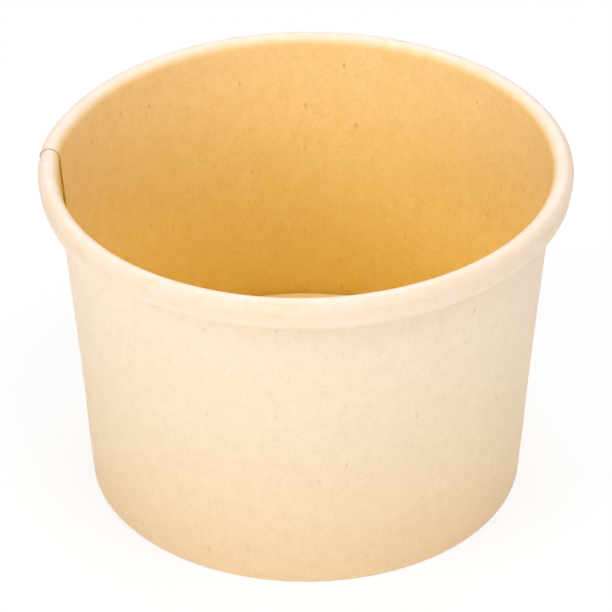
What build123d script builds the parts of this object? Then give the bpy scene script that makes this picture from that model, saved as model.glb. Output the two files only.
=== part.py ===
from build123d import *
from math import acos, atan2, cos, degrees, hypot, pi, radians, sin, tan
import os

# Take-away soup tub of unbleached bamboo paperboard, 8 oz size. The side wall is one blank,
# wound round a cone and heat-sealed on itself in a lap seam, with its top edge rolled outwards
# and its bottom edge folded up inside, round the skirt of a drawn base disc.
# Millimetres, +Z up. The origin is the centre of the foot ring, on the table.

# Overall sizes
rim_d = 90.5  # over the rolled rim
height = 61.0  # table to the top of the rim
foot_d = 75.0  # outside of the foot ring

# Board
wall_board = 0.36  # side wall, lined on the food side
base_board = 0.30  # base disc, lined on the food side
seal = 0.04  # melted lining between the base's skirt and the board on each side of it

# Rolled rim: the board goes over a top arc, down a short flank and in under a lower arc
roll_top_r = 1.76  # outer face of the board over the top arc
roll_low_r = 1.45  # outer face of the board round the lower arc
roll_drop = 2.20  # height between the centres of the two arcs
roll_gap = 0.12  # between the tucked edge and the wall behind it
roll_tuck = 190.0  # degrees that the lower arc turns before the board ends
top_bands = 4  # straight bands that stand for the top arc, so that the faces stay few
low_bands = 4  # and for the lower arc
lap_bands = 2  # what the inner flap keeps of them, trimmed so that the roll closes over two plies

# Base and foot
floor_h = 10.0  # table to the food side of the base
bend = 1.00  # each way over the edge where the base turns down into its skirt, as one straight band
skirt_lift = 0.20  # skirt's edge above the fold, where the fold is double
hem_gap = 1.50  # folded-up edge of the wall to the bend of the base

# Lap seam, in degrees seen from above with +X at zero, and in lengths at the rim
seam_at = 175.5  # cut edge of the inner flap
lap_width = 6.8  # where the wall lies double
jog_width = 3.4  # over which the board steps aside by its own thickness
jog_steps = 4  # stretches of the jog
trim_width = 0.8  # by which the inner flap is trimmed, and lies up, before the outer flap's edge

# Worked out from the sizes above
rim_r = rim_d / 2
foot_r = foot_d / 2
top_z = height - roll_top_r
top_reach = rim_r - foot_r - roll_top_r
slope = acos((roll_top_r - wall_board) / hypot(top_z, top_reach)) - atan2(top_z, top_reach)
into_tub = Vector(-cos(slope), sin(slope))
pocket = base_board + 2 * seal
hem_top = floor_h - bend - base_board - hem_gap
skirt_edge = 2 * wall_board + skirt_lift
mitre = base_board * tan(pi / 8)  # inner corners of the bend, of 45 degrees each, beyond its outer ones
lap_angle = degrees(lap_width / rim_r)
jog_angle = degrees(jog_width / rim_r)
trim_angle = degrees(trim_width / rim_r)
lap_from = seam_at - lap_angle
inner_from = lap_from - trim_angle


def wall_point(depth, z):
    """The point at height z, depth inside the wall's outer face, as radius and height."""
    return Vector(foot_r - depth / cos(slope) + z * tan(slope), z)


def arc_points(centre, radius, start, end, bands):
    """Points from one angle to another, in radians, on the arc about centre."""
    angles = [start + (end - start) * band / bands for band in range(bands + 1)]
    return [centre + Vector(cos(angle), sin(angle)) * radius for angle in angles]


# Centres of the rim's two arcs, and the angle square to the flank between them
top_centre = Vector(rim_r - roll_top_r, top_z)
low_centre = wall_point(-(roll_low_r + roll_gap), top_z - roll_drop)
drop = low_centre - top_centre
flank = atan2(drop.Y, drop.X) + acos((roll_top_r - roll_low_r) / drop.length)
wall_side = pi - slope


def board_section(out=0.0, lift=0.0, hem_in=0.0, bands=low_bands):
    """Section of the wall's board, as radius and height.

    out moves the wall and the roll towards the outside, as where the outer flap lies over the
    inner one. lift raises the fold at the foot, and hem_in moves the folded-up hem inwards.
    bands is how far the board goes round the lower arc.
    """
    tip = flank - radians(roll_tuck) * bands / low_bands
    face_r = (roll_top_r - out, roll_low_r - out)
    back_r = (face_r[0] - wall_board, face_r[1] - wall_board)
    hem_out = wall_board + pocket + hem_in
    inside = lift + wall_board
    over = arc_points(top_centre, face_r[0], wall_side, flank, top_bands)
    under = arc_points(low_centre, face_r[1], flank, tip, bands)
    back_under = arc_points(low_centre, back_r[1], tip, flank, bands)
    back_over = arc_points(top_centre, back_r[0], flank, wall_side, top_bands)
    foot = [
        wall_point(-out, lift),
        wall_point(hem_out + wall_board, lift),
        wall_point(hem_out + wall_board, hem_top),
        wall_point(hem_out, hem_top),
        wall_point(hem_out, inside),
        wall_point(wall_board - out, inside),
    ]
    return make_face(Polyline(foot + over + under + back_under + back_over, close=True))


def at_angle(section, angle):
    """Stand a section on the half plane that lies at angle round the axis."""
    c = cos(radians(angle))
    s = sin(radians(angle))
    return Plane(origin=(0, 0, 0), x_dir=(c, s, 0), z_dir=(s, -c, 0)) * section


def turned(section, start, end):
    """One section carried round the axis from start to end, in degrees."""
    return revolve(at_angle(section, start), axis=Axis.Z, revolution_arc=end - start)


def blended(section_at, start):
    """A jog from start on: section_at takes a share that eases from 0 to 1."""
    sections = []
    for step in range(jog_steps + 1):
        way = step / jog_steps
        eased = way * way * (3 - 2 * way)
        sections.append(at_angle(section_at(eased), start + way * jog_angle))
    return loft(sections)


def leaving_lap(share):
    """The outer flap's section as it comes back into line, beside the inner flap's cut edge."""
    aside = wall_board * (1 - share)
    return board_section(out=aside, hem_in=aside)


def entering_lap(share):
    """The board's section as its fold climbs on to the outer flap's."""
    return board_section(lift=wall_board * share)


def make_side_wall():
    outer_flap = turned(leaving_lap(0), lap_from, seam_at)
    jog_down = blended(leaving_lap, seam_at)
    single = turned(board_section(), seam_at + jog_angle, inner_from - jog_angle + 360)
    jog_up = blended(entering_lap, inner_from - jog_angle)
    inner_flap = turned(board_section(lift=wall_board, bands=lap_bands), inner_from, seam_at)
    return outer_flap + [jog_down, single, jog_up, inner_flap]


def make_base_disc():
    skirt_out = wall_board + seal
    skirt_in = skirt_out + base_board
    bend_start = wall_point(skirt_out, floor_h) - Vector(bend, 0)
    outline = Polyline(
        (0, floor_h),
        bend_start,
        wall_point(skirt_out, floor_h - bend),
        wall_point(skirt_out, skirt_edge),
        wall_point(skirt_in, skirt_edge),
        wall_point(skirt_in, floor_h - bend - mitre),
        bend_start - Vector(mitre, base_board),
        (0, floor_h - base_board),
        close=True,
    )
    return revolve(at_angle(make_face(outline), 0), axis=Axis.Z)


nodes = {
    "side_wall": make_side_wall(),
    "base_disc": make_base_disc(),
}

os.makedirs("parts", exist_ok=True)
for name, solid in nodes.items():
    export_step(solid, f"parts/{name}.step")
    print(name, len(solid.solids()), "solid, volume", round(solid.volume, 1), "mm3")
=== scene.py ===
import math

import bpy
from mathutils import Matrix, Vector, noise


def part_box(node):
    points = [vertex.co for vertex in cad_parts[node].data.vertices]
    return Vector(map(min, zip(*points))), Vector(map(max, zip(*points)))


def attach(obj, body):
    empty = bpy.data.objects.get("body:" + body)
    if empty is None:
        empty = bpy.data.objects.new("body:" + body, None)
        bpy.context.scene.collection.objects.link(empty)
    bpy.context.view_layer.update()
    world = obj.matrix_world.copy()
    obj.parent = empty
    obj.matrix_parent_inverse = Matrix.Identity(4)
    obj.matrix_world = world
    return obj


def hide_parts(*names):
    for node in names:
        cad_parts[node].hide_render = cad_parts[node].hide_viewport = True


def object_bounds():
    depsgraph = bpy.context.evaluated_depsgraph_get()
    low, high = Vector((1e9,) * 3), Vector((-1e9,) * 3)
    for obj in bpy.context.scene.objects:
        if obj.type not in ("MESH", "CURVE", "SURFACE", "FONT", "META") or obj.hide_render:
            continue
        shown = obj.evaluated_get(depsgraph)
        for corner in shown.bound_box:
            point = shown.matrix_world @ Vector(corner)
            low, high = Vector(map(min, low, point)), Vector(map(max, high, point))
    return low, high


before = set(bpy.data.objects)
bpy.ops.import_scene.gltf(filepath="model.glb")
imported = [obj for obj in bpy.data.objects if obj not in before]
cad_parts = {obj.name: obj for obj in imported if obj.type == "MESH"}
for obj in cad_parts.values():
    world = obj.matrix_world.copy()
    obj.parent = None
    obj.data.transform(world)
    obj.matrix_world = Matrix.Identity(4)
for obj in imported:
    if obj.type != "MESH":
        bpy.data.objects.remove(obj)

cadLow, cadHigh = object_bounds()
mm = 0.001
print("frame loaded:", sorted(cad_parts))


# Helpers

def linear(hexColor):
    # sRGB hex to linear light
    channels = [int(hexColor[i:i + 2], 16) / 255 for i in (1, 3, 5)]
    return tuple(c / 12.92 if c <= 0.04045 else ((c + 0.055) / 1.055) ** 2.4 for c in channels) + (1.0,)


def addNode(tree, kind, sockets=(), **settings):
    # sockets are values, or the nodes and outputs that feed them, in order or by an input's name or number
    made = tree.nodes.new(kind)
    for name, value in settings.items():
        setattr(made, name, value)
    if not isinstance(sockets, dict):
        sockets = dict(enumerate(sockets))
    for name, value in sockets.items():
        if isinstance(value, bpy.types.Node):
            value = value.outputs[0]
        if isinstance(value, bpy.types.NodeSocket):
            tree.links.new(value, made.inputs[name])
        else:
            made.inputs[name].default_value = value
    return made


def linked(mesh, name):
    made = bpy.data.objects.new(name, mesh)
    bpy.context.scene.collection.objects.link(made)
    return made


# Board and section sizes in millimetres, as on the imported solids, for both pieces

wallLow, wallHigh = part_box("side_wall")
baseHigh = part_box("base_disc")[1]

tub = {
    "rimRadius": (wallHigh.x - wallLow.x) / 2 / mm,
    "rimHeight": wallHigh.z / mm,
    "footRadius": 37.5,
    "floorHeight": baseHigh.z / mm,
    "wallBoard": 0.36,
    "baseBoard": 0.30,
    "seal": 0.04,            # melted lining between two plies
    "topArc": 1.76,          # face of the board over the rim
    "lowArc": 1.45,          # face of the board under the rim
    "rollDrop": 2.20,        # between the centres of these two arcs
    "rollGap": 0.12,         # from the tucked edge to the wall
    "tuckTurn": 190.0,       # degrees that the lower arc turns
    "hemTop": 7.2,
    "foldRadius": 0.5,       # outside of the folded foot
    "skirtEdge": 0.92,
    "baseBend": 1.0,         # outside of the base's turned-down edge
    "sharpFrom": 40.0,       # degrees between two faces, from which their edge shows sharp
}

# slope is the wall's lean in radians, at which its food face runs straight into the top arc
topHeight = tub["rimHeight"] - tub["topArc"]
topReach = tub["rimRadius"] - tub["footRadius"] - tub["topArc"]
slope = (math.acos((tub["topArc"] - tub["wallBoard"]) / math.hypot(topHeight, topReach))
         - math.atan2(topHeight, topReach))
outward = Vector((math.cos(slope), -math.sin(slope)))    # square to the wall, as radius and height


def wallPoint(depth, height):
    # depth millimetres inside the wall's outer face
    return Vector((tub["footRadius"] - depth / math.cos(slope) + height * math.tan(slope), height))


# Side wall: one blank, wound round a cone until its ends lap, with its top edge rolled outwards
# and its bottom edge folded up inside

wall = {
    "seamAt": 175.5,         # cut edge that shows inside, degrees from +X
    "lapWidth": 6.8,         # mm round the rim, as the next two
    "jogWidth": 3.4,
    "trimWidth": 0.8,
    "keptTurn": 100.0,       # degrees of the lower arc that the trimmed inner flap keeps
    "plyGap": 0.01,
    "columns": 360,
    "crowding": 0.72,        # how much closer the columns stand beside the seam
    "pressed": 0.6,          # share of the board's thickness that the lap loses in the rolling
    "pressedFrom": 4.0,      # mm below the rim, as the next one
    "pressedTo": 1.2,
    "pull": 0.43,            # mm by which the rim is out of round, two ways
    "pullThree": 0.065,      # and three ways
    "pullThreeAt": 0.43,     # radians
    "lapStands": 0.33,       # mm by which the stiff lap stands out at the rim
    "lapStandsOver": 9.0,    # degrees
    "tightRoll": 0.30,       # mm by which the roll is tighter past the lap
    "tightRollAt": 23.0,     # degrees past the seam
    "tightRollOver": 8.0,
    "waist": 0.15,           # mm by which the wall is drawn in above the base
    "waver": 0.10,           # mm, slight unevenness of the wound board
    "waverSize": 34.0,
    "arcStep": 10.0,         # degrees between two points of the section on an arc
    "foldStep": 20.0,        # and on the tight fold at the foot
    "wallStep": 2.4,         # mm between two points where the section is straight
    "closest": 0.004,        # mm, under which two points of the section are one
    "weld": 0.002,           # mm, the same for the finished wall
}


def run(start, end, back, step):
    # a straight stretch, as places: point on the food face, direction to the back, share of fold
    steps = max(1, round((end - start).length / step))
    return [(start.lerp(end, i / steps), back, 0.0) for i in range(steps + 1)]


def turn(centre, radius, start, end, backSide, step, fold=0.0):
    # the same round an arc, with backSide 1 where the back lies outside it and -1 where inside
    steps = max(2, round(abs(math.degrees(end - start)) / step))
    angles = [start + (end - start) * i / steps for i in range(steps + 1)]
    arms = [Vector((math.cos(angle), math.sin(angle))) for angle in angles]
    return [(centre + arm * radius, arm * backSide, fold) for arm in arms]


def joined(places):
    # the end of a stretch and the start of the next are one place
    kept = places[:1]
    for place in places[1:]:
        if (place[0] - kept[-1][0]).length > wall["closest"]:
            kept.append(place)
    return kept


def wallPlaces():
    # the section from the hem's edge round the fold, up the wall and round the roll, and the number of
    # places that the trimmed inner flap keeps
    hemFace = tub["wallBoard"] + tub["baseBoard"] + 2 * tub["seal"]
    inside = tub["foldRadius"] - tub["wallBoard"]
    aside = Vector((inside / math.cos(slope), 0))
    hemTurn = wallPoint(hemFace, tub["foldRadius"]) + aside
    wallTurn = wallPoint(tub["wallBoard"], tub["foldRadius"]) - aside
    topCentre = Vector((tub["rimRadius"] - tub["topArc"], topHeight))
    lowCentre = wallPoint(-(tub["lowArc"] + tub["rollGap"]), topHeight - tub["rollDrop"])
    drop = lowCentre - topCentre
    flank = math.atan2(drop.y, drop.x) + math.acos((tub["topArc"] - tub["lowArc"]) / drop.length)
    kept = flank - math.radians(wall["keptTurn"])
    tip = flank - math.radians(tub["tuckTurn"])
    step = wall["arcStep"]

    hemFoot = hemTurn - outward * inside
    wallFoot = wallTurn + outward * inside
    wallTop = topCentre - outward * tub["topArc"]
    places = run(wallPoint(hemFace, tub["hemTop"]), hemFoot, -outward, wall["wallStep"])
    places += turn(hemTurn, inside, math.pi - slope, 1.5 * math.pi, 1, wall["foldStep"], 1.0)
    places += turn(wallTurn, inside, -math.pi / 2, -slope, 1, wall["foldStep"], 1.0)
    places += run(wallFoot, wallTop, outward, wall["wallStep"])
    places += turn(topCentre, tub["topArc"], math.pi - slope, flank, -1, step)
    places += turn(lowCentre, tub["lowArc"], flank, kept, -1, step)
    trimmed = len(joined(places))
    places += turn(lowCentre, tub["lowArc"], kept, tip, -1, step)
    return joined(places), trimmed


def sectionMesh(places):
    # the section as a line of points that carry what the tree needs
    mesh = bpy.data.meshes.new("wallSection")
    count = len(places)
    mesh.from_pydata([(i * mm, 0, 0) for i in range(count)], [(i, i + 1) for i in range(count - 1)], [])
    along = [0.0]
    for (start, _, _), (end, _, _) in zip(places, places[1:]):
        along.append(along[-1] + (end - start).length)
    columns = {
        "reach": [point.x * mm for point, _, _ in places],
        "height": [point.y * mm for point, _, _ in places],
        "backOut": [back.x for _, back, _ in places],
        "backUp": [back.y for _, back, _ in places],
        "fold": [fold for _, _, fold in places],
        "along": [length * mm for length in along],
    }
    for name, column in columns.items():
        mesh.attributes.new(name, "FLOAT", "POINT").data.foreach_set("value", column)
    return mesh, along


# The tree that winds the board, in parts. given holds the tree's inputs, and carried what each point
# has from its place in the section and from its column

def woundSheet(tree, given):
    # a round of columns from the outer flap's edge on, crowded at the seam, with the section along it
    line = addNode(tree, "GeometryNodeMeshLine", {"Count": given["Columns"], "Offset": (0, 0, mm)})
    index = addNode(tree, "GeometryNodeInputIndex")
    last = addNode(tree, "ShaderNodeMath", (given["Columns"], 1.0), operation="SUBTRACT")
    share = addNode(tree, "ShaderNodeMath", (index, last), operation="DIVIDE")
    turned = addNode(tree, "ShaderNodeMath", (share, 2 * math.pi), operation="MULTIPLY")
    wave = addNode(tree, "ShaderNodeMath", (turned,), operation="SINE")
    crowd = addNode(tree, "ShaderNodeMath", (given["Crowding"], wave), operation="MULTIPLY")
    crowd = addNode(tree, "ShaderNodeMath", (crowd, 2 * math.pi), operation="DIVIDE")
    share = addNode(tree, "ShaderNodeMath", (share, crowd), operation="SUBTRACT")
    whole = addNode(tree, "ShaderNodeMath", (given["Lap"], 2 * math.pi), operation="ADD")
    wound = addNode(tree, "ShaderNodeMath", (whole, share), operation="MULTIPLY")
    path = addNode(tree, "GeometryNodeStoreNamedAttribute", {
        "Geometry": line, "Name": "wound", "Value": wound,
    })
    path = addNode(tree, "GeometryNodeMeshToCurve", {"Mesh": path})
    profile = addNode(tree, "GeometryNodeMeshToCurve", {"Mesh": given["Geometry"]})
    return addNode(tree, "GeometryNodeCurveToMesh", {"Curve": path, "Profile Curve": profile})


def flapShares(tree, given, carried, innerFrom):
    # 1 on the outer flap, and 1 on the inner one, each eased to 0 over its jog
    jogEnd = addNode(tree, "ShaderNodeMath", (given["Lap"], given["Jog"]), operation="ADD")
    outer = addNode(tree, "ShaderNodeMapRange", {
        "Value": carried["wound"], "From Min": given["Lap"], "From Max": jogEnd,
        "To Min": 1.0, "To Max": 0.0,
    }, interpolation_type="SMOOTHSTEP")
    jogStart = addNode(tree, "ShaderNodeMath", (innerFrom, given["Jog"]), operation="SUBTRACT")
    inner = addNode(tree, "ShaderNodeMapRange", {
        "Value": carried["wound"], "From Min": jogStart, "From Max": innerFrom,
        "To Min": 0.0, "To Max": 1.0,
    }, interpolation_type="SMOOTHSTEP")
    return outer, inner


def thicknessLeft(tree, given, carried, outer, inner):
    # the share of the board's thickness that the rolling leaves, under 1 only at the lap near the rim
    rimHeight = given["Rim height"]
    start = addNode(tree, "ShaderNodeMath", (rimHeight, given["Pressed from"]), operation="SUBTRACT")
    end = addNode(tree, "ShaderNodeMath", (rimHeight, given["Pressed to"]), operation="SUBTRACT")
    pressed = addNode(tree, "ShaderNodeMapRange", {
        "Value": carried["height"], "From Min": start, "From Max": end,
        "To Min": 0.0, "To Max": given["Pressed"],
    }, interpolation_type="SMOOTHSTEP")
    lapped = addNode(tree, "ShaderNodeMath", (outer, inner), operation="MAXIMUM")
    pressed = addNode(tree, "ShaderNodeMath", (pressed, lapped), operation="MULTIPLY")
    return addNode(tree, "ShaderNodeMath", (1.0, pressed), operation="SUBTRACT")


def lappedPlace(tree, given, carried, outer, inner, left):
    # the outer flap stands one ply outside, and the inner flap's fold is lifted by one ply
    ply = addNode(tree, "ShaderNodeMath", (given["Board"], given["Ply gap"]), operation="ADD")
    aside = addNode(tree, "ShaderNodeMath", (ply, left), operation="MULTIPLY")
    aside = addNode(tree, "ShaderNodeMath", (aside, outer), operation="MULTIPLY")
    reach, backOut = carried["reach"], carried["backOut"]
    radius = addNode(tree, "ShaderNodeMath", (aside, backOut, reach), operation="MULTIPLY_ADD")
    unfolded = addNode(tree, "ShaderNodeMath", (1.0, carried["fold"]), operation="SUBTRACT")
    rise = addNode(tree, "ShaderNodeMath", (carried["backUp"], unfolded), operation="MULTIPLY")
    height = addNode(tree, "ShaderNodeMath", (aside, rise, carried["height"]), operation="MULTIPLY_ADD")
    lifted = addNode(tree, "ShaderNodeMath", (ply, inner), operation="MULTIPLY")
    drop = addNode(tree, "ShaderNodeMath", (carried["backUp"], carried["fold"]), operation="MULTIPLY")
    lifted = addNode(tree, "ShaderNodeMath", (lifted, drop), operation="MULTIPLY")
    height = addNode(tree, "ShaderNodeMath", (height, lifted), operation="SUBTRACT")
    return radius, height


def humpRound(tree, angle, middle, width):
    # 1 at the middle angle, falling to 0 on both sides within a few widths
    off = addNode(tree, "ShaderNodeMath", (angle, middle), operation="SUBTRACT")
    off = addNode(tree, "ShaderNodeMath", (off, math.pi, -math.pi), operation="WRAP")
    off = addNode(tree, "ShaderNodeMath", (off, width), operation="DIVIDE")
    square = addNode(tree, "ShaderNodeMath", (off, off), operation="MULTIPLY")
    square = addNode(tree, "ShaderNodeMath", (square, -1.0), operation="MULTIPLY")
    return addNode(tree, "ShaderNodeMath", (square,), operation="EXPONENT")


def strainAtSeam(tree, given, carried, angle):
    # the stiff lap stands out, and the roll is tighter just past it
    lap, seamAt = given["Lap"], given["Seam at"]
    lapMiddle = addNode(tree, "ShaderNodeMath", (lap, -0.5, seamAt), operation="MULTIPLY_ADD")
    atLap = humpRound(tree, angle, lapMiddle, given["Lap stands over"])
    stands = addNode(tree, "ShaderNodeMath", (given["Lap stands"], atLap), operation="MULTIPLY")
    rollFrom = addNode(tree, "ShaderNodeMath", (given["Rim radius"], given["Roll"]), operation="SUBTRACT")
    onRoll = addNode(tree, "ShaderNodeMapRange", {
        "Value": carried["reach"], "From Min": rollFrom, "From Max": given["Rim radius"],
        "To Min": 0.0, "To Max": 1.0,
    }, interpolation_type="SMOOTHSTEP")
    pastSeam = addNode(tree, "ShaderNodeMath", (seamAt, given["Tight roll at"]), operation="ADD")
    atTight = humpRound(tree, angle, pastSeam, given["Tight roll over"])
    tight = addNode(tree, "ShaderNodeMath", (given["Tight roll"], onRoll), operation="MULTIPLY")
    tight = addNode(tree, "ShaderNodeMath", (tight, atTight), operation="MULTIPLY")
    return addNode(tree, "ShaderNodeMath", (stands, tight), operation="SUBTRACT")


def outOfRound(tree, given, carried, angle, cosine, sine, height):
    # how far the wall stands off its cone, which grows from the base on, where the disc holds it round
    rimHeight, floorHeight = given["Rim height"], given["Floor height"]
    over = addNode(tree, "ShaderNodeMath", (height, floorHeight), operation="SUBTRACT")
    depth = addNode(tree, "ShaderNodeMath", (rimHeight, floorHeight), operation="SUBTRACT")
    free = addNode(tree, "ShaderNodeMath", (over, depth), operation="DIVIDE", use_clamp=True)

    twice = addNode(tree, "ShaderNodeMath", (angle, 2.0), operation="MULTIPLY")
    two = addNode(tree, "ShaderNodeMath", (twice,), operation="SINE")
    two = addNode(tree, "ShaderNodeMath", (given["Pull"], two), operation="MULTIPLY")
    thrice = addNode(tree, "ShaderNodeMath", (angle, 3.0, given["Pull three at"]), operation="MULTIPLY_ADD")
    three = addNode(tree, "ShaderNodeMath", (thrice,), operation="COSINE")
    three = addNode(tree, "ShaderNodeMath", (given["Pull three"], three), operation="MULTIPLY")

    # times the free share, this curve is 1 at a quarter of the way up
    below = addNode(tree, "ShaderNodeMath", (1.0, free), operation="SUBTRACT")
    below = addNode(tree, "ShaderNodeMath", (below, 3.0), operation="POWER")
    below = addNode(tree, "ShaderNodeMath", (below, 256 / 27), operation="MULTIPLY")
    waist = addNode(tree, "ShaderNodeMath", (given["Waist"], below), operation="MULTIPLY")

    # a noise, drawn out to about 1 each way
    across = addNode(tree, "ShaderNodeMath", (cosine, given["Rim radius"]), operation="MULTIPLY")
    deep = addNode(tree, "ShaderNodeMath", (sine, given["Rim radius"]), operation="MULTIPLY")
    spot = addNode(tree, "ShaderNodeCombineXYZ", (across, deep, height))
    fineness = addNode(tree, "ShaderNodeMath", (1.0, given["Waver size"]), operation="DIVIDE")
    cloud = addNode(tree, "ShaderNodeTexNoise", {"Vector": spot, "Scale": fineness, "Detail": 1.0})
    waver = addNode(tree, "ShaderNodeMath", (cloud, 0.5), operation="SUBTRACT")
    waver = addNode(tree, "ShaderNodeMath", (waver, 4.0), operation="MULTIPLY")
    waver = addNode(tree, "ShaderNodeMath", (waver, given["Waver"]), operation="MULTIPLY")

    strain = strainAtSeam(tree, given, carried, angle)
    strain = addNode(tree, "ShaderNodeMath", (strain, waist), operation="SUBTRACT")
    bulge = two
    for part in (three, waver, strain):
        bulge = addNode(tree, "ShaderNodeMath", (bulge, part), operation="ADD")
    return addNode(tree, "ShaderNodeMath", (free, bulge), operation="MULTIPLY")


def trimmedSheet(tree, given, carried, innerFrom, sheet):
    # the inner flap's top corner is trimmed, so that the roll closes over two plies
    wound, along, kept = carried["wound"], carried["along"], given["Trimmed length"]
    pastTrim = addNode(tree, "FunctionNodeCompare", (wound, innerFrom), operation="GREATER_THAN")
    pastKept = addNode(tree, "FunctionNodeCompare", (along, kept), operation="GREATER_THAN")
    corner = addNode(tree, "FunctionNodeBooleanMath", (pastTrim, pastKept), operation="AND")
    return addNode(tree, "GeometryNodeDeleteGeometry", {
        "Geometry": sheet, "Selection": corner,
    }, domain="POINT")


def thickened(tree, given, carried, left, cosine, sine, sheet):
    # from the food face to the back. The sheet itself stays as the food face
    solid = addNode(tree, "GeometryNodeExtrudeMesh", {
        "Mesh": sheet, "Offset Scale": 0.0, "Individual": False,
    })
    top, side = solid.outputs["Top"], solid.outputs["Side"]
    across = addNode(tree, "ShaderNodeMath", (carried["backOut"], cosine), operation="MULTIPLY")
    deep = addNode(tree, "ShaderNodeMath", (carried["backOut"], sine), operation="MULTIPLY")
    back = addNode(tree, "ShaderNodeCombineXYZ", (across, deep, carried["backUp"]))
    thickness = addNode(tree, "ShaderNodeMath", (given["Board"], left), operation="MULTIPLY")
    offset = addNode(tree, "ShaderNodeVectorMath", {0: back, "Scale": thickness}, operation="SCALE")
    moved = addNode(tree, "GeometryNodeSetPosition", {
        "Geometry": solid, "Selection": top, "Offset": offset,
    })
    moved = addNode(tree, "GeometryNodeFlipFaces", {"Mesh": moved})
    both = addNode(tree, "GeometryNodeJoinGeometry", (moved,))
    tree.links.new(sheet.outputs[0], both.inputs[0])
    whole = addNode(tree, "GeometryNodeMergeByDistance", {"Geometry": both, "Distance": given["Weld"]})
    return addNode(tree, "GeometryNodeSetShadeSmooth", {"Geometry": whole}), top, side


def windTree(values):
    tree = bpy.data.node_groups.new("woundBoard", "GeometryNodeTree")
    tree.is_modifier = True
    tree.interface.new_socket("Geometry", in_out="INPUT", socket_type="NodeSocketGeometry")
    tree.interface.new_socket("Geometry", in_out="OUTPUT", socket_type="NodeSocketGeometry")
    for name, value in values.items():
        kind = {float: "NodeSocketFloat", int: "NodeSocketInt"}.get(type(value), "NodeSocketMaterial")
        tree.interface.new_socket(name, in_out="INPUT", socket_type=kind)
    given = addNode(tree, "NodeGroupInput").outputs

    sheet = woundSheet(tree, given)
    carried = {}
    for name in ("wound", "reach", "height", "backOut", "backUp", "fold", "along"):
        carried[name] = addNode(tree, "GeometryNodeInputNamedAttribute", {"Name": name}, data_type="FLOAT")
    wound = carried["wound"]
    innerFrom = addNode(tree, "ShaderNodeMath", (2 * math.pi, given["Trim"]), operation="SUBTRACT")
    outer, inner = flapShares(tree, given, carried, innerFrom)
    left = thicknessLeft(tree, given, carried, outer, inner)
    radius, height = lappedPlace(tree, given, carried, outer, inner, left)

    start = addNode(tree, "ShaderNodeMath", (given["Seam at"], given["Lap"]), operation="SUBTRACT")
    angle = addNode(tree, "ShaderNodeMath", (wound, start), operation="ADD")
    cosine = addNode(tree, "ShaderNodeMath", (angle,), operation="COSINE")
    sine = addNode(tree, "ShaderNodeMath", (angle,), operation="SINE")
    bulge = outOfRound(tree, given, carried, angle, cosine, sine, height)
    radius = addNode(tree, "ShaderNodeMath", (radius, bulge), operation="ADD")
    across = addNode(tree, "ShaderNodeMath", (radius, cosine), operation="MULTIPLY")
    deep = addNode(tree, "ShaderNodeMath", (radius, sine), operation="MULTIPLY")
    place = addNode(tree, "ShaderNodeCombineXYZ", (across, deep, height))
    sheet = addNode(tree, "GeometryNodeSetPosition", {"Geometry": sheet, "Position": place})

    # where each point lies on the flat blank, in metres, for the board's colour
    roundRim = addNode(tree, "ShaderNodeMath", (wound, given["Rim radius"]), operation="MULTIPLY")
    blank = addNode(tree, "ShaderNodeCombineXYZ", (roundRim, carried["along"]))
    sheet = addNode(tree, "GeometryNodeStoreNamedAttribute", {
        "Geometry": sheet, "Name": "blank", "Value": blank,
    }, data_type="FLOAT2", domain="CORNER")

    sheet = trimmedSheet(tree, given, carried, innerFrom, sheet)
    whole, top, side = thickened(tree, given, carried, left, cosine, sine, sheet)

    # the outer flap's own cut edge is where the winding starts
    atStart = addNode(tree, "FunctionNodeCompare", (wound, 0.0), operation="LESS_EQUAL")
    outerCut = addNode(tree, "FunctionNodeBooleanMath", (atStart, side), operation="AND")
    real = addNode(tree, "GeometryNodeRealizeInstances", {"Geometry": whole})
    shown = {"Food face": True, "Back face": top, "Cut edge": side, "Outer cut edge": outerCut}
    for name, where in shown.items():
        real = addNode(tree, "GeometryNodeSetMaterial", {
            "Geometry": real, "Selection": where, "Material": given[name],
        })
    addNode(tree, "NodeGroupOutput", (real,))
    return tree


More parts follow.
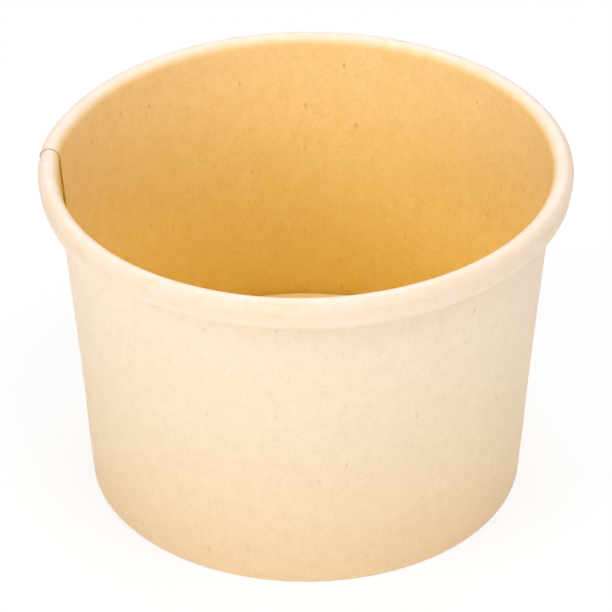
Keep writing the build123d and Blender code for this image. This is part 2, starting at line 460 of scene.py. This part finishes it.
def makeSideWall(materials):
    places, trimmed = wallPlaces()
    section, along = sectionMesh(places)
    source = linked(section, "wallSection")
    rim = tub["rimRadius"]
    values = {
        "Seam at": math.radians(wall["seamAt"]),
        "Lap": wall["lapWidth"] / rim,
        "Jog": wall["jogWidth"] / rim,
        "Trim": wall["trimWidth"] / rim,
        "Trimmed length": (along[trimmed - 1] + along[trimmed]) / 2 * mm,    # between two points
        "Board": tub["wallBoard"] * mm,
        "Ply gap": wall["plyGap"] * mm,
        "Columns": wall["columns"],
        "Crowding": wall["crowding"],
        "Pressed": wall["pressed"],
        "Pressed from": wall["pressedFrom"] * mm,
        "Pressed to": wall["pressedTo"] * mm,
        "Rim radius": rim * mm,
        "Rim height": tub["rimHeight"] * mm,
        "Floor height": tub["floorHeight"] * mm,
        "Pull": wall["pull"] * mm,
        "Pull three": wall["pullThree"] * mm,
        "Pull three at": wall["pullThreeAt"],
        "Lap stands": wall["lapStands"] * mm,
        "Lap stands over": math.radians(wall["lapStandsOver"]),
        "Tight roll": wall["tightRoll"] * mm,
        "Tight roll at": math.radians(wall["tightRollAt"]),
        "Tight roll over": math.radians(wall["tightRollOver"]),
        "Roll": 2 * tub["topArc"] * mm,
        "Waist": wall["waist"] * mm,
        "Waver": wall["waver"] * mm,
        "Waver size": wall["waverSize"] * mm,
        "Weld": wall["weld"] * mm,
        "Food face": materials["food"],
        "Back face": materials["back"],
        "Cut edge": materials["edge"],
        "Outer cut edge": materials["outerEdge"],
    }
    tree = windTree(values)
    winding = source.modifiers.new("winding", "NODES")
    winding.node_group = tree
    for item in tree.interface.items_tree:
        if item.in_out == "INPUT" and item.name in values:
            winding[item.identifier] = values[item.name]
    bpy.context.view_layer.update()
    evaluated = source.evaluated_get(bpy.context.evaluated_depsgraph_get())
    mesh = bpy.data.meshes.new_from_object(evaluated)
    mesh.name = "tubWall"
    if mesh.materials[0] is None:    # the empty slot of the line that was wound
        mesh.materials.pop(index=0)
    mesh.set_sharp_from_angle(angle=math.radians(tub["sharpFrom"]))
    bpy.data.objects.remove(source)
    print("side wall:", len(section.vertices), "points round the section,", len(mesh.polygons), "faces,",
          round(along[-1], 1), "mm of board from hem to roll")
    return linked(mesh, "tubWall")


# Base: a drawn disc whose edge is turned down into a skirt, set up inside the foot

base = {
    "rings": 14,             # from the middle to the bend
    "turns": 220,
    "bendSteps": 6,
    "skirtRows": (6.5, 4.0, 2.4),    # mm above the table
    "bow": 0.12,             # mm, slight unevenness of the drawn disc
    "bowSize": 19.0,
    "bowEnds": 2.5,          # mm inside the bend, from where on the disc is true
    "bowFades": 6.0,         # mm over which the unevenness fades before that
    "seed": 5.0,
    "weld": 0.001,           # mm
}


def makeBase(materials):
    skirtFace = tub["wallBoard"] + tub["seal"]
    bend = tub["baseBend"]
    centre = wallPoint(skirtFace, tub["floorHeight"] - bend) - Vector((bend / math.cos(slope), 0))
    shares = [i / base["bendSteps"] for i in range(1, base["bendSteps"] + 1)]
    angles = [math.pi / 2 * (1 - share) - slope * share for share in shares]
    rings = [centre.x * i / base["rings"] for i in range(base["rings"] + 1)]
    line = [Vector((ring, tub["floorHeight"])) for ring in rings]
    line += [centre + Vector((math.cos(angle), math.sin(angle))) * bend for angle in angles]
    line += [wallPoint(skirtFace, height) for height in (*base["skirtRows"], tub["skirtEdge"])]
    points = [(point.x * mm, 0, point.y * mm) for point in line]
    mesh = bpy.data.meshes.new("tubBase")
    mesh.from_pydata(points, [(i, i + 1) for i in range(len(points) - 1)], [])
    for name in ("food", "back", "edge"):
        mesh.materials.append(materials[name])
    source = linked(mesh, "baseLine")
    lathe = source.modifiers.new("lathe", "SCREW")
    lathe.steps = lathe.render_steps = base["turns"]
    lathe.use_merge_vertices = True
    lathe.merge_threshold = base["weld"] * mm
    ply = source.modifiers.new("ply", "SOLIDIFY")
    ply.thickness = tub["baseBoard"] * mm
    ply.offset = -1
    ply.use_even_offset = True
    ply.material_offset = 1
    ply.material_offset_rim = 2
    bpy.context.view_layer.update()
    evaluated = source.evaluated_get(bpy.context.evaluated_depsgraph_get())
    disc = bpy.data.meshes.new_from_object(evaluated)
    disc.name = "tubBase"
    bpy.data.objects.remove(source)
    for vertex in disc.vertices:
        reach = math.hypot(vertex.co.x, vertex.co.y) / mm
        ease = max(0.0, min(1.0, (centre.x - base["bowEnds"] - reach) / base["bowFades"]))
        spot = Vector((vertex.co.x, vertex.co.y, base["seed"])) / (base["bowSize"] * mm)
        vertex.co.z += noise.noise(spot) * base["bow"] * mm * ease
    disc.shade_smooth()
    disc.set_sharp_from_angle(angle=math.radians(tub["sharpFrom"]))
    print("base:", len(disc.polygons), "faces")
    return linked(disc, "tubBase")


# Unbleached bamboo paperboard: kraft pulp formed on a wire and calendered, so it is matt and finely
# mottled, with short winding fibres and a few flecks of bark. The food side has a thin clear lining

boardLook = {
    "boardLength": 80.0,     # mm, a little more than the wall's board has from hem to roll
    "cloudSize": 2.4,        # mm, cloudy formation of the sheet
    "grainSize": 0.5,        # mm, drawn coarser than the real grain so that it shows
    "noiseRange": (0.25, 0.75),        # of a noise, drawn out to the full depth of clouds and grain
    "fibreWinding": 1.7,     # mm, over which a fibre turns
    "fibreWidth": 0.16,      # mm, drawn broader than the real 0.02 so that it shows
    "fibreSteep": 0.6,       # by which a noise changes over its own size, at its middle value
    "fibreShifts": (0, 17, 43, 71),    # mm, one set of fibres each
    "fibreGaps": (0.50, 0.58),         # of a noise, between which a set of fibres fades in
    "gapShift": 9,           # mm from a set of fibres to the noise that breaks it up
    "fleckSpacing": 2.3,     # mm between flecks inside the sheet
    "fleckSize": 0.36,
    "fleckCore": 0.4,        # share of a fleck that is fully dark
    "fleckHidden": 0.6,      # share of the flecks that don't come to the sheet's face
    "fleckStretch": 2.4,     # how much longer than wide a fleck is, up the tub
    "fleckWarp": 0.6,        # mm
    "toothSize": 0.3,        # mm, finest relief of the face
    "cloudRelief": 1.5,      # how high the clouds stand beside the tooth
    "fibreRelief": 0.3,      # and the fibres
    "burnished": 0.45,       # what the curling die leaves of the texture on the rim's roll
    "burnishedFrom": 65.0,   # mm along the board, as the next one
    "burnishedTo": 67.5,
}

# colours by their place along the board, in mm from the hem's edge: it turns at the foot from 7 on, and
# the rim's roll begins at 66, has its crown at 69 and ends at 79. These colours carry painted light and
# shade. The food side's deep gold inside the tub is partly the lining's tone and partly painted shade and
# golden bounce light, darkest at the foot. The roll is the same face, painted pale for the lamps' light on
# it, with a painted highlight on its crown and another at its lower edge. The outside is painted darker and
# warmer toward the foot, for the shade there. The base carries no such place and takes the first colour.
# A denser spot of the sheet is darker by the shares in tint
faces = {
    "outside": {
        # painted shade: the outside grows darker and warmer toward the foot, where less light falls
        "colours": ((10, "#E8CAA0"), (22, "#EBD2AE"), (40, "#EFD9BD"), (57, "#F3DEC6")),
        "tint": (0.8, 1.0, 1.3), "cloud": 0.030, "grain": 0.042, "fibre": "#B98A55", "fibreShare": 0.07,
        "fleck": "#A87A48", "fleckShare": 0.25, "roughness": 0.86, "bump": 0.010, "ior": 1.45,
        "sheen": 0.20,
    },
    "food": {
        # painted shade and light: darker, deeper gold toward the foot inside the tub; pale on the roll, with
        # a painted highlight on its crown (69.2) and at its lower edge (75.4)
        "colours": ((6.5, "#F7DE9B"), (7, "#D9B04B"), (19, "#EBC65E"), (37, "#F7D683"), (60, "#F8D796"),
                    (66.8, "#F8D496"), (68.3, "#F5E4D1"), (69.2, "#F4E5D6"), (70, "#EFD8C1"),
                    (74, "#F3DFC8"), (75.4, "#F5E3D2")),
        "tint": (0.5, 1.0, 2.8), "cloud": 0.042, "grain": 0.050, "fibre": "#BC8010", "fibreShare": 0.10,
        "fleck": "#B87A00", "fleckShare": 0.45, "roughness": 0.6, "bump": 0.006, "ior": 1.3,
        "sheen": 0.0,
    },
    "cut": {
        # painted in part: golden and dark inside the tub for the bounce light and the shade in the seam's
        # step, greyer on the roll
        "colours": ((65.5, "#C8A034"), (66.5, "#A98F68")),
        "tint": (1.0, 1.0, 1.0), "cloud": 0.08, "grain": 0.10, "fibre": "#9A6A30", "fibreShare": 0.2,
        "fleck": "#6E4A1E", "fleckShare": 0.3, "roughness": 0.95, "bump": 0.020, "ior": 1.5,
        "sheen": 0.0,
    },
}
# a cut edge is bare pulp. Inside the tub it is golden as the lining is, partly painted shade and golden
# bounce light, and greyer where it crosses the roll. On the outer flap it is plain, painted darker toward
# the foot as the outside is
faces["outerCut"] = {**faces["cut"], "colours": ((10, "#CFAE80"), (57, "#D8BD98"))}


def boardColourWithPaintedLight(tree, look, along, uneven):
    place = addNode(tree, "ShaderNodeMath", (along, boardLook["boardLength"] * mm), operation="DIVIDE")
    ramp = addNode(tree, "ShaderNodeValToRGB", (place,))
    for i, (distance, hexColor) in enumerate(look["colours"]):
        stop = ramp.color_ramp.elements[i] if i < 2 else ramp.color_ramp.elements.new(1.0)
        stop.position = distance / boardLook["boardLength"]
        stop.color = linear(hexColor)
    shares, plain = look["tint"], (1.0, 1.0, 1.0)
    tone = addNode(tree, "ShaderNodeVectorMath", (uneven, shares, plain), operation="MULTIPLY_ADD")
    return addNode(tree, "ShaderNodeMix", {0: 1.0, 6: ramp, 7: tone}, data_type="RGBA",
                   blend_type="MULTIPLY").outputs[2]


def windingFibres(tree, spot):
    # thin winding lines, where a noise crosses its middle value, broken up by another noise
    fineness = 1 / (boardLook["fibreWinding"] * mm)
    width = boardLook["fibreSteep"] * boardLook["fibreWidth"] / 2 / boardLook["fibreWinding"]
    gapFrom, gapTo = boardLook["fibreGaps"]
    fibres = 0.0
    for shift in boardLook["fibreShifts"]:
        aside = (shift * mm, 0, 0)
        moved = addNode(tree, "ShaderNodeVectorMath", (spot, aside), operation="ADD")
        winding = addNode(tree, "ShaderNodeTexNoise", {"Vector": moved, "Scale": fineness, "Detail": 1.0})
        off = addNode(tree, "ShaderNodeMath", (winding, 0.5), operation="SUBTRACT")
        off = addNode(tree, "ShaderNodeMath", (off,), operation="ABSOLUTE")
        line = addNode(tree, "ShaderNodeMapRange", {
            "Value": off, "From Min": 0.0, "From Max": width, "To Min": 1.0, "To Max": 0.0,
        })
        aside = ((shift + boardLook["gapShift"]) * mm, 0, 0)
        moved = addNode(tree, "ShaderNodeVectorMath", (spot, aside), operation="ADD")
        gaps = addNode(tree, "ShaderNodeTexNoise", {"Vector": moved, "Scale": fineness, "Detail": 0.0})
        whole = addNode(tree, "ShaderNodeMapRange", {
            "Value": gaps, "From Min": gapFrom, "From Max": gapTo, "To Min": 0.0, "To Max": 1.0,
        })
        line = addNode(tree, "ShaderNodeMath", (line, whole), operation="MULTIPLY")
        fibres = addNode(tree, "ShaderNodeMath", (fibres, line), operation="MAXIMUM")
    return fibres


def barkFlecks(tree, look, spot):
    # flecks of uneven outline and strength, longer up the tub
    fineness = 1 / (2 * boardLook["fleckSize"] * mm)
    warp = addNode(tree, "ShaderNodeTexNoise", {"Vector": spot, "Scale": fineness, "Detail": 1.0})
    middle, reach = (0.5,) * 3, (boardLook["fleckWarp"] * mm,) * 3
    warp = addNode(tree, "ShaderNodeVectorMath", (warp.outputs["Color"], middle), operation="SUBTRACT")
    warped = addNode(tree, "ShaderNodeVectorMath", (warp, reach, spot), operation="MULTIPLY_ADD")
    squeeze = (1.0, 1.0, 1 / boardLook["fleckStretch"])
    warped = addNode(tree, "ShaderNodeVectorMath", (warped, squeeze), operation="MULTIPLY")
    fineness = 1 / (boardLook["fleckSpacing"] * mm)
    cells = addNode(tree, "ShaderNodeTexVoronoi", {"Vector": warped, "Scale": fineness})
    edge = boardLook["fleckSize"] / boardLook["fleckSpacing"]
    dark = addNode(tree, "ShaderNodeMapRange", {
        "Value": cells.outputs["Distance"], "From Min": boardLook["fleckCore"] * edge, "From Max": edge,
        "To Min": look["fleckShare"], "To Max": 0.0,
    })
    drawn = addNode(tree, "ShaderNodeSeparateColor", (cells.outputs["Color"],))
    drawn = addNode(tree, "ShaderNodeMapRange", {
        "Value": drawn, "From Min": boardLook["fleckHidden"], "From Max": 1.0,
        "To Min": 0.0, "To Max": 1.0,
    })
    return addNode(tree, "ShaderNodeMath", (dark, drawn), operation="MULTIPLY")


def boardMaterial(name, look):
    made = bpy.data.materials.new(name)
    made.use_nodes = True
    tree = made.node_tree
    tree.nodes.clear()
    spot = addNode(tree, "ShaderNodeTexCoord").outputs["Object"]
    blank = addNode(tree, "ShaderNodeUVMap", uv_map="blank")
    along = addNode(tree, "ShaderNodeSeparateXYZ", (blank,)).outputs["Y"]
    start, end = boardLook["burnishedFrom"] * mm, boardLook["burnishedTo"] * mm
    toRoll = {"Value": along, "From Min": start, "From Max": end, "To Min": 1.0}
    texture = addNode(tree, "ShaderNodeMapRange", {**toRoll, "To Max": boardLook["burnished"]})
    offRoll = addNode(tree, "ShaderNodeMapRange", {**toRoll, "To Max": 0.0})

    # mottling, of clouds and of a fine grain that the roll's burnishing weakens
    low, high = boardLook["noiseRange"]
    fineness = 1 / (boardLook["cloudSize"] * mm)
    cloud = addNode(tree, "ShaderNodeTexNoise", {"Vector": spot, "Scale": fineness, "Detail": 3.0})
    cloudy = addNode(tree, "ShaderNodeMapRange", {
        "Value": cloud, "From Min": low, "From Max": high, "To Min": -look["cloud"], "To Max": look["cloud"],
    })
    fineness = 1 / (boardLook["grainSize"] * mm)
    grain = addNode(tree, "ShaderNodeTexNoise", {"Vector": spot, "Scale": fineness, "Detail": 2.0})
    grainy = addNode(tree, "ShaderNodeMapRange", {
        "Value": grain, "From Min": low, "From Max": high, "To Min": -look["grain"], "To Max": look["grain"],
    })
    uneven = addNode(tree, "ShaderNodeMath", (grainy, texture, cloudy), operation="MULTIPLY_ADD")
    colour = boardColourWithPaintedLight(tree, look, along, uneven)

    fibres = windingFibres(tree, spot)
    fibres = addNode(tree, "ShaderNodeMath", (fibres, texture), operation="MULTIPLY")
    share = addNode(tree, "ShaderNodeMath", (fibres, look["fibreShare"]), operation="MULTIPLY")
    tint = linear(look["fibre"])
    colour = addNode(tree, "ShaderNodeMix", {0: share, 6: colour, 7: tint}, data_type="RGBA").outputs[2]
    flecks = barkFlecks(tree, look, spot)
    share = addNode(tree, "ShaderNodeMath", (flecks, offRoll), operation="MULTIPLY")
    tint = linear(look["fleck"])
    colour = addNode(tree, "ShaderNodeMix", {0: share, 6: colour, 7: tint}, data_type="RGBA").outputs[2]

    fineness = 1 / (boardLook["toothSize"] * mm)
    tooth = addNode(tree, "ShaderNodeTexNoise", {"Vector": spot, "Scale": fineness, "Detail": 2.0})
    cloudRelief, fibreRelief = boardLook["cloudRelief"], boardLook["fibreRelief"]
    relief = addNode(tree, "ShaderNodeMath", (cloud, cloudRelief, tooth), operation="MULTIPLY_ADD")
    relief = addNode(tree, "ShaderNodeMath", (fibres, fibreRelief, relief), operation="MULTIPLY_ADD")
    relief = addNode(tree, "ShaderNodeMath", (relief, texture), operation="MULTIPLY")
    depth = look["bump"] * mm
    bump = addNode(tree, "ShaderNodeBump", {"Height": relief, "Distance": depth, "Strength": 1.0})
    shader = addNode(tree, "ShaderNodeBsdfPrincipled", {
        "Base Color": colour, "Normal": bump, "Roughness": look["roughness"], "IOR": look["ior"],
        "Sheen Weight": look["sheen"],
    })
    addNode(tree, "ShaderNodeOutputMaterial", {"Surface": shader})
    return made


boards = {
    "food": boardMaterial("bambooBoardLinedSide", faces["food"]),
    "back": boardMaterial("bambooBoardOutside", faces["outside"]),
    "edge": boardMaterial("bambooBoardCutEdge", faces["cut"]),
    "outerEdge": boardMaterial("bambooBoardOuterCutEdge", faces["outerCut"]),
}
print("board finishes:", len(boards))

tubWall = makeSideWall(boards)
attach(tubWall, "root")
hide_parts("side_wall")

tubBase = makeBase(boards)
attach(tubBase, "root")
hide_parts("base_disc")


# Floor, light and camera

studio = {
    "floorSize": 6.0,        # metres
    "floorColour": "#F4F2EE",
    "floorShadow": 0.30,     # how much of the floor's own shading the camera sees near the tub
    "shadowFrom": 0.06,      # metres from the middle of the floor, over which that fades into white
    "shadowTo": 0.16,
    "worldStrength": 0.41,
    "lampsAim": (0.0, 0.0, 0.03),
}

# place in metres, size of the disc in metres and power in watts
lamps = {
    "keyLamp": {"place": (-1.22, -0.70, 1.21), "size": 1.1, "power": 10.3},
    "topLamp": {"place": (0.55, -0.55, 1.70), "size": 1.1, "power": 10.6},
    "frontLamp": {"place": (0.0, -1.80, 0.44), "size": 0.7, "power": 8.8},
    "backLamp": {"place": (0.0, 0.78, 1.70), "size": 1.1, "power": 8.44},
}

view = {
    "distance": 0.67875,     # metres from the middle of the tub
    "elevation": 33.2,       # degrees
    "lens": 230.9,           # mm, as the sensor
    "sensor": 36.0,
    "shiftUp": 0.00716,
}

white = (1.0, 1.0, 1.0, 1.0)


def seenRays(tree):
    # rays that show the background as white: from the camera, in gloss and through glass
    rays = addNode(tree, "ShaderNodeLightPath").outputs
    seen = rays["Is Camera Ray"]
    for name in ("Is Glossy Ray", "Is Transmission Ray"):
        seen = addNode(tree, "ShaderNodeMath", (seen, rays[name]), operation="MAXIMUM")
    return seen


def makeFloor():
    half = studio["floorSize"] / 2
    corners = [(-half, -half, 0), (half, -half, 0), (half, half, 0), (-half, half, 0)]
    mesh = bpy.data.meshes.new("floor")
    mesh.from_pydata(corners, [], [(0, 1, 2, 3)])
    paint = bpy.data.materials.new("palePaintedFloor")
    paint.use_nodes = True
    tree = paint.node_tree
    tree.nodes.clear()
    pale = addNode(tree, "ShaderNodeBsdfDiffuse", {"Color": linear(studio["floorColour"])})
    shaded = addNode(tree, "ShaderNodeBsdfDiffuse", {"Color": white})
    bright = addNode(tree, "ShaderNodeEmission", {"Color": white, "Strength": 1.0})
    spot = addNode(tree, "ShaderNodeTexCoord").outputs["Object"]
    away = addNode(tree, "ShaderNodeVectorMath", (spot,), operation="LENGTH").outputs["Value"]
    near = addNode(tree, "ShaderNodeMapRange", {
        "Value": away, "From Min": studio["shadowFrom"], "From Max": studio["shadowTo"],
        "To Min": studio["floorShadow"], "To Max": 0.0,
    })
    shown = addNode(tree, "ShaderNodeMixShader", (near, bright, shaded))
    both = addNode(tree, "ShaderNodeMixShader", (seenRays(tree), pale, shown))
    addNode(tree, "ShaderNodeOutputMaterial", {"Surface": both})
    mesh.materials.append(paint)
    return linked(mesh, "floor")


def makeWorld():
    world = bpy.data.worlds.new("paleStudio")
    bpy.context.scene.world = world
    world.use_nodes = True
    tree = world.node_tree
    tree.nodes.clear()
    strength = studio["worldStrength"]
    soft = addNode(tree, "ShaderNodeBackground", {"Color": white, "Strength": strength})
    bright = addNode(tree, "ShaderNodeBackground", {"Color": white, "Strength": 1.0})
    both = addNode(tree, "ShaderNodeMixShader", (seenRays(tree), soft, bright))
    addNode(tree, "ShaderNodeOutputWorld", {"Surface": both})


def makeLamp(name, place, size, power):
    lamp = bpy.data.lights.new(name, "AREA")
    lamp.shape = "DISK"
    lamp.size = size
    lamp.energy = power
    made = bpy.data.objects.new(name, lamp)
    made.location = place
    aim = Vector(studio["lampsAim"]) - Vector(place)
    made.rotation_euler = aim.to_track_quat("-Z", "Y").to_euler()
    bpy.context.scene.collection.objects.link(made)


def makeCamera():
    camera = bpy.data.cameras.new("camera")
    camera.lens = view["lens"]
    camera.sensor_width = view["sensor"]
    camera.shift_y = view["shiftUp"]
    made = bpy.data.objects.new("camera", camera)
    lift = math.radians(view["elevation"])
    middle = cadHigh.z / 2
    made.location = (0, -view["distance"] * math.cos(lift), view["distance"] * math.sin(lift) + middle)
    made.rotation_euler = (math.pi / 2 - lift, 0, 0)
    bpy.context.scene.collection.objects.link(made)
    bpy.context.scene.camera = made


makeFloor()
makeWorld()
for name, lamp in lamps.items():
    makeLamp(name, lamp["place"], lamp["size"], lamp["power"])
makeCamera()
bpy.context.scene.view_settings.view_transform = "Standard"
print("studio ready")
